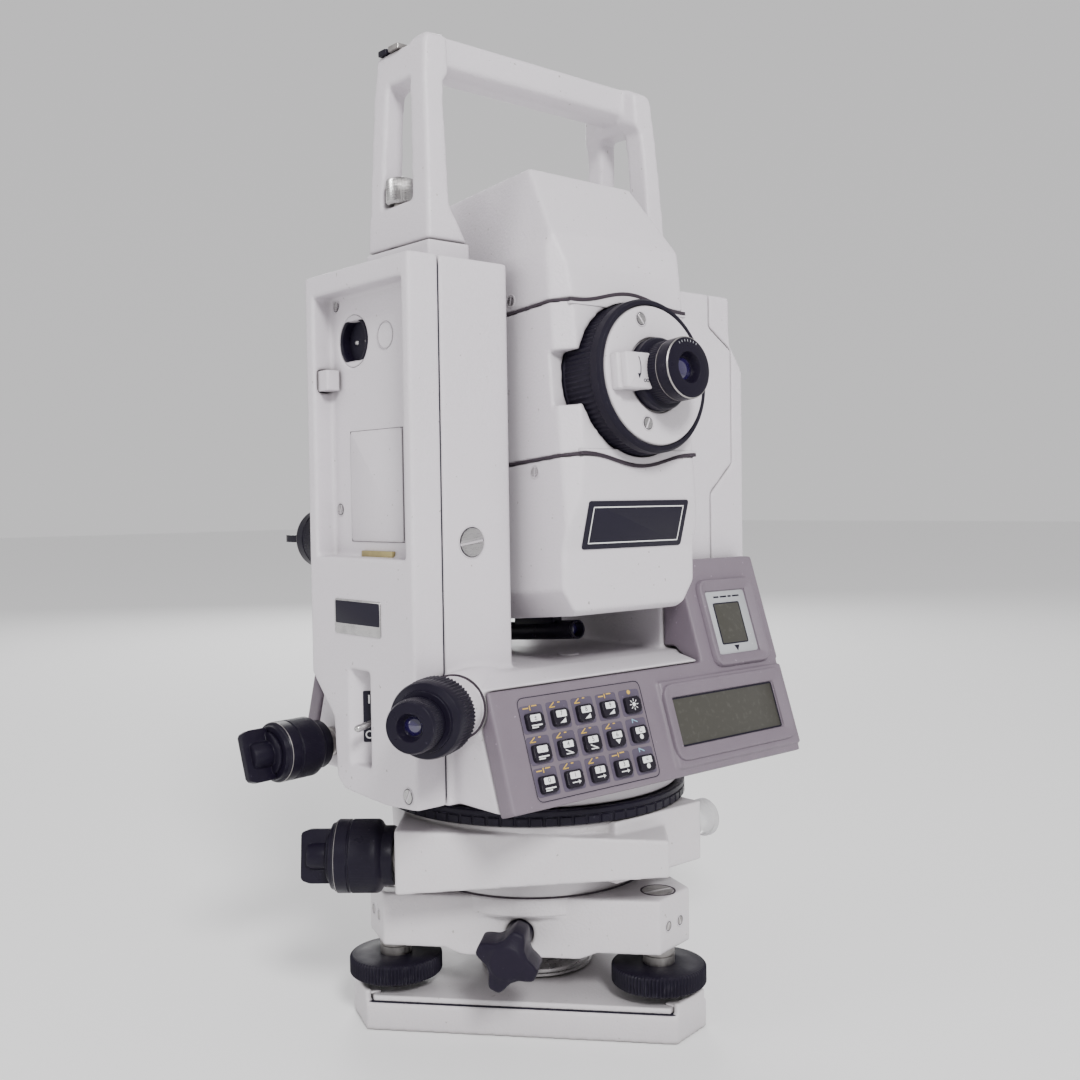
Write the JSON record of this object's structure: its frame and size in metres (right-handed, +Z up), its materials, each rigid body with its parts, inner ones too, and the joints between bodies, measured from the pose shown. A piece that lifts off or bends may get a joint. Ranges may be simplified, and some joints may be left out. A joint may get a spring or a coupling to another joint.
{
  "type": "surveying total station",
  "caption": "Surveying total station on a three-screw tribrach: tilting telescope between two standards, keypad and display on both faces, clamp and tangent knobs, carrying handle.",
  "frame": {"origin": "on the vertical axis, at the underside of the tribrach's base plate, where the tripod screw enters", "axes": "+Z up along the vertical axis; -Y towards the observer who faces the eyepiece and the front keypad; +X to that observer's right, along the trunnion axis"},
  "size_m": [0.2002, 0.1576, 0.3689],
  "materials": {
    "paint": "light warm grey, fine texture, semi-matt",
    "panel": "mid grey with a violet cast, fine texture",
    "black": "satin black, knurled or ribbed on grips",
    "key": "dark grey moulded rubber with printed marks",
    "steel": "bright turned steel, lightly worn",
    "display": "olive grey liquid crystal display behind a clear window",
    "lens": "coated glass with a violet reflection",
    "level_glass": "yellow-green spirit level",
    "clear_cap": "milky translucent plastic"
  },
  "bodies": {
    "base": {"base_plate": "paint", "spring_plate": "paint", "centring_ring": "steel", "tribrach_body": "paint", "circular_level": "level_glass", "lower_base": "paint", "lower_cap": "clear_cap"},
    "foot_screw_1": {"foot_screw_1": "black"},
    "foot_screw_2": {"foot_screw_2": "black"},
    "foot_screw_3": {"foot_screw_3": "black"},
    "tribrach_clamp": {"tribrach_clamp_knob": "black"},
    "lower_tangent": {"lower_tangent_knob": "black"},
    "lower_clamp": {"lower_clamp_lever": "black"},
    "circle_ring": {"circle_ring": "black"},
    "alidade": {"vertical_spindle": "steel", "alidade_frame": "paint", "left_cover": "paint", "right_cover": "paint", "battery_socket": "black", "front_bezel": "panel", "front_main_lcd": "display", "front_small_lcd": "display", "rear_bezel": "panel", "rear_key_mat": "key", "plate_level": "level_glass", "handle": "paint"},
    "battery_catch": {"battery_catch": "paint"},
    "power_switch": {"power_switch_lever": "steel"},
    "plummet_focus": {"plummet_focus_ring": "black"},
    "plummet_eyepiece": {"plummet_eyepiece": "black"},
    "key_01": {"key_01": "key"},
    "key_02": {"key_02": "key"},
    "key_03": {"key_03": "key"},
    "key_04": {"key_04": "key"},
    "key_05": {"key_05": "key"},
    "key_06": {"key_06": "key"},
    "key_07": {"key_07": "key"},
    "key_08": {"key_08": "key"},
    "key_09": {"key_09": "key"},
    "key_10": {"key_10": "key"},
    "key_11": {"key_11": "key"},
    "key_12": {"key_12": "key"},
    "key_13": {"key_13": "key"},
    "key_14": {"key_14": "key"},
    "key_15": {"key_15": "key"},
    "upper_tangent": {"upper_tangent_knob": "black"},
    "upper_clamp": {"upper_clamp_lever": "black"},
    "vertical_tangent": {"vertical_tangent_knob": "black"},
    "vertical_clamp": {"vertical_clamp_lever": "black"},
    "handle_screw_left": {"handle_screw_left": "steel"},
    "handle_screw_right": {"handle_screw_right": "steel"},
    "telescope": {"trunnion_axle": "steel", "telescope_body": "paint", "telescope_upper_housing": "paint", "telescope_lower_housing": "paint", "eyepiece_plate": "paint", "objective_lens": "lens", "sight_tube": "black"},
    "focusing_ring": {"focusing_ring": "black"},
    "eyepiece": {"eyepiece": "black"}
  },
  "joints": [
    {"name": "foot_screw_1_turn", "type": "hinge", "parent": "base", "child": "foot_screw_1", "pos_m": [0.01088, -0.05758, 0.02], "axis": [0, 0, 1], "range_deg": [-2160, 2160]},
    {"name": "foot_screw_2_turn", "type": "hinge", "parent": "base", "child": "foot_screw_2", "pos_m": [-0.0553, 0.01937, 0.02], "axis": [0, 0, 1], "range_deg": [-2160, 2160]},
    {"name": "foot_screw_3_turn", "type": "hinge", "parent": "base", "child": "foot_screw_3", "pos_m": [0.04442, 0.03821, 0.02], "axis": [0, 0, 1], "range_deg": [-2160, 2160]},
    {"name": "tribrach_clamp_turn", "type": "hinge", "parent": "base", "child": "tribrach_clamp", "pos_m": [-0.04625, -0.03978, 0.0375], "axis": [-0.7581, -0.6521, 0], "range_deg": [0, 180]},
    {"name": "lower_tangent_turn", "type": "hinge", "parent": "base", "child": "lower_tangent", "pos_m": [-0.06645, -0.00014, 0.0681], "axis": [-0.7373, 0.6756, 0], "range_deg": [-1800, 1800]},
    {"name": "lower_clamp_turn", "type": "hinge", "parent": "base", "child": "lower_clamp", "pos_m": [-0.06645, -0.00014, 0.0681], "axis": [-0.7373, 0.6756, 0], "range_deg": [0, 70]},
    {"name": "circle_ring_turn", "type": "hinge", "parent": "base", "child": "circle_ring", "pos_m": [0, 0, 0.085], "axis": [0, 0, 1], "continuous": true},
    {"name": "alidade_turn", "type": "hinge", "parent": "base", "child": "alidade", "pos_m": [0, 0, 0.09], "axis": [0, 0, 1], "continuous": true},
    {"name": "battery_catch_slide", "type": "slide", "parent": "alidade", "child": "battery_catch", "axis": [0, 1, 0], "range_m": [0, 0.002], "stiffness_N_per_m": 600},
    {"name": "power_switch_turn", "type": "hinge", "parent": "alidade", "child": "power_switch", "pos_m": [-0.0736, -0.0039, 0.1206], "axis": [0, 1, 0], "range_deg": [0, 24]},
    {"name": "plummet_focus_turn", "type": "hinge", "parent": "alidade", "child": "plummet_focus", "pos_m": [0, 0, 0.129], "axis": [-0.8526, -0.5225, 0], "range_deg": [-90, 90]},
    {"name": "plummet_eyepiece_turn", "type": "hinge", "parent": "alidade", "child": "plummet_eyepiece", "pos_m": [0, 0, 0.129], "axis": [-0.8526, -0.5225, 0], "range_deg": [-150, 150]},
    {"name": "key_01_press", "type": "slide", "parent": "alidade", "child": "key_01", "axis": [0, 0.9495, -0.3137], "range_m": [0, 0.001], "stiffness_N_per_m": 500},
    {"name": "key_02_press", "type": "slide", "parent": "alidade", "child": "key_02", "axis": [0, 0.9495, -0.3137], "range_m": [0, 0.001], "stiffness_N_per_m": 500},
    {"name": "key_03_press", "type": "slide", "parent": "alidade", "child": "key_03", "axis": [0, 0.9495, -0.3137], "range_m": [0, 0.001], "stiffness_N_per_m": 500},
    {"name": "key_04_press", "type": "slide", "parent": "alidade", "child": "key_04", "axis": [0, 0.9495, -0.3137], "range_m": [0, 0.001], "stiffness_N_per_m": 500},
    {"name": "key_05_press", "type": "slide", "parent": "alidade", "child": "key_05", "axis": [0, 0.9495, -0.3137], "range_m": [0, 0.001], "stiffness_N_per_m": 500},
    {"name": "key_06_press", "type": "slide", "parent": "alidade", "child": "key_06", "axis": [0, 0.9495, -0.3137], "range_m": [0, 0.001], "stiffness_N_per_m": 500},
    {"name": "key_07_press", "type": "slide", "parent": "alidade", "child": "key_07", "axis": [0, 0.9495, -0.3137], "range_m": [0, 0.001], "stiffness_N_per_m": 500},
    {"name": "key_08_press", "type": "slide", "parent": "alidade", "child": "key_08", "axis": [0, 0.9495, -0.3137], "range_m": [0, 0.001], "stiffness_N_per_m": 500},
    {"name": "key_09_press", "type": "slide", "parent": "alidade", "child": "key_09", "axis": [0, 0.9495, -0.3137], "range_m": [0, 0.001], "stiffness_N_per_m": 500},
    {"name": "key_10_press", "type": "slide", "parent": "alidade", "child": "key_10", "axis": [0, 0.9495, -0.3137], "range_m": [0, 0.001], "stiffness_N_per_m": 500},
    {"name": "key_11_press", "type": "slide", "parent": "alidade", "child": "key_11", "axis": [0, 0.9495, -0.3137], "range_m": [0, 0.001], "stiffness_N_per_m": 500},
    {"name": "key_12_press", "type": "slide", "parent": "alidade", "child": "key_12", "axis": [0, 0.9495, -0.3137], "range_m": [0, 0.001], "stiffness_N_per_m": 500},
    {"name": "key_13_press", "type": "slide", "parent": "alidade", "child": "key_13", "axis": [0, 0.9495, -0.3137], "range_m": [0, 0.001], "stiffness_N_per_m": 500},
    {"name": "key_14_press", "type": "slide", "parent": "alidade", "child": "key_14", "axis": [0, 0.9495, -0.3137], "range_m": [0, 0.001], "stiffness_N_per_m": 500},
    {"name": "key_15_press", "type": "slide", "parent": "alidade", "child": "key_15", "axis": [0, 0.9495, -0.3137], "range_m": [0, 0.001], "stiffness_N_per_m": 500},
    {"name": "upper_tangent_turn", "type": "hinge", "parent": "alidade", "child": "upper_tangent", "pos_m": [-0.0678, 0.0424, 0.1048], "axis": [-0.9903, -0.1392, 0], "range_deg": [-1800, 1800]},
    {"name": "upper_clamp_turn", "type": "hinge", "parent": "alidade", "child": "upper_clamp", "pos_m": [-0.0678, 0.0424, 0.1048], "axis": [-0.9903, -0.1392, 0], "range_deg": [0, 70]},
    {"name": "vertical_tangent_turn", "type": "hinge", "parent": "alidade", "child": "vertical_tangent", "pos_m": [-0.0621, 0.033, 0.1841], "axis": [0, 1, 0], "range_deg": [-1800, 1800]},
    {"name": "vertical_clamp_turn", "type": "hinge", "parent": "alidade", "child": "vertical_clamp", "pos_m": [-0.0621, 0.033, 0.1841], "axis": [0, 1, 0], "range_deg": [0, 70]},
    {"name": "handle_screw_left_turn", "type": "hinge", "parent": "alidade", "child": "handle_screw_left", "pos_m": [-0.0573, 0.0043, 0.31], "axis": [0, 0, 1], "range_deg": [-720, 720]},
    {"name": "handle_screw_right_turn", "type": "hinge", "parent": "alidade", "child": "handle_screw_right", "pos_m": [0.0573, 0.0043, 0.31], "axis": [0, 0, 1], "range_deg": [-720, 720]},
    {"name": "telescope_tilt", "type": "hinge", "parent": "alidade", "child": "telescope", "pos_m": [0, 0, 0.236], "axis": [1, 0, 0], "continuous": true},
    {"name": "focusing_ring_turn", "type": "hinge", "parent": "telescope", "child": "focusing_ring", "pos_m": [0, 0, 0.236], "axis": [0, -0.9962, 0.0872], "range_deg": [-120, 120]},
    {"name": "eyepiece_turn", "type": "hinge", "parent": "telescope", "child": "eyepiece", "pos_m": [0, 0, 0.236], "axis": [0, -0.9962, 0.0872], "range_deg": [-180, 180]}
  ]
}
